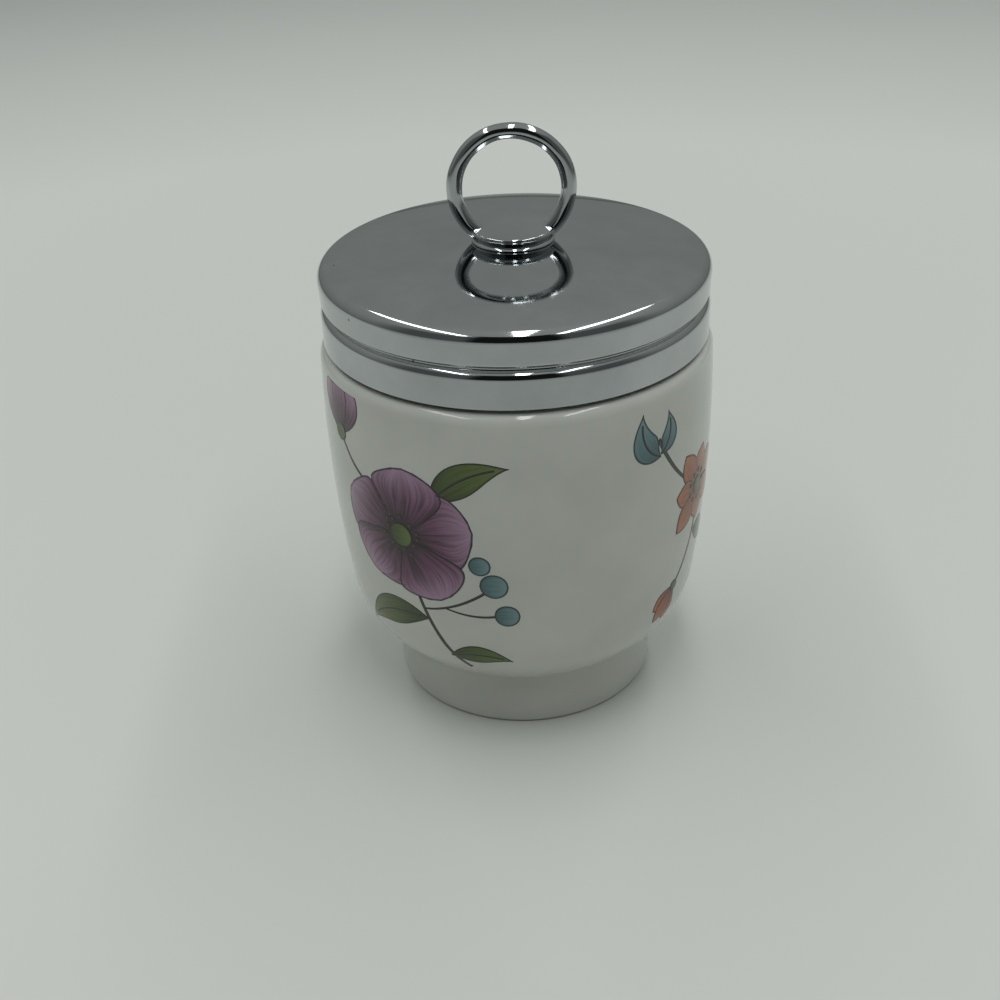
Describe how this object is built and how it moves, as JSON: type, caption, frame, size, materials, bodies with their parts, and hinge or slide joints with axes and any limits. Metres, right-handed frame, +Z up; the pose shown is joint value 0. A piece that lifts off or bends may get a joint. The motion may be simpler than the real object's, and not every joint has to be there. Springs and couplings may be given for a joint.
{
  "type": "porcelain egg coddler",
  "caption": "Footed porcelain cup for cooking an egg in hot water, with a plated screw-on metal lid and an upright lifting ring.",
  "frame": {"origin": "centre of the foot's underside, on the table", "axes": "+Z up along the cup's axis; the lifting ring stands in the XZ plane and its hole faces -Y and +Y"},
  "size_m": [0.0614, 0.0614, 0.0931],
  "materials": {
    "porcelain": "glazed porcelain, white and opaque, with a printed flower decoration",
    "chrome_plate": "bright plated sheet and wire",
    "liner_metal": "satin aluminium",
    "rivet_metal": "satin steel"
  },
  "bodies": {
    "cup": {"cup": "porcelain"},
    "lid_rivet": {"ring_rivet": "rivet_metal", "rivet_washer": "rivet_metal"},
    "lid": {"lid_cap": "chrome_plate", "thread_liner": "liner_metal", "ring_collar": "chrome_plate", "lifting_ring": "chrome_plate"}
  },
  "joints": [
    {"name": "lid_rise", "type": "slide", "parent": "cup", "child": "lid_rivet", "axis": [0, 0, 1], "range_m": [0, 0.015]},
    {"name": "lid_turn", "type": "hinge", "parent": "lid_rivet", "child": "lid", "pos_m": [0, 0, 0.07], "axis": [0, 0, 1], "range_deg": [0, 1080]}
  ],
  "couplings": [
    {"joint": "lid_rise", "follows": "lid_turn", "m_per_rad": 0.00079577}
  ]
}
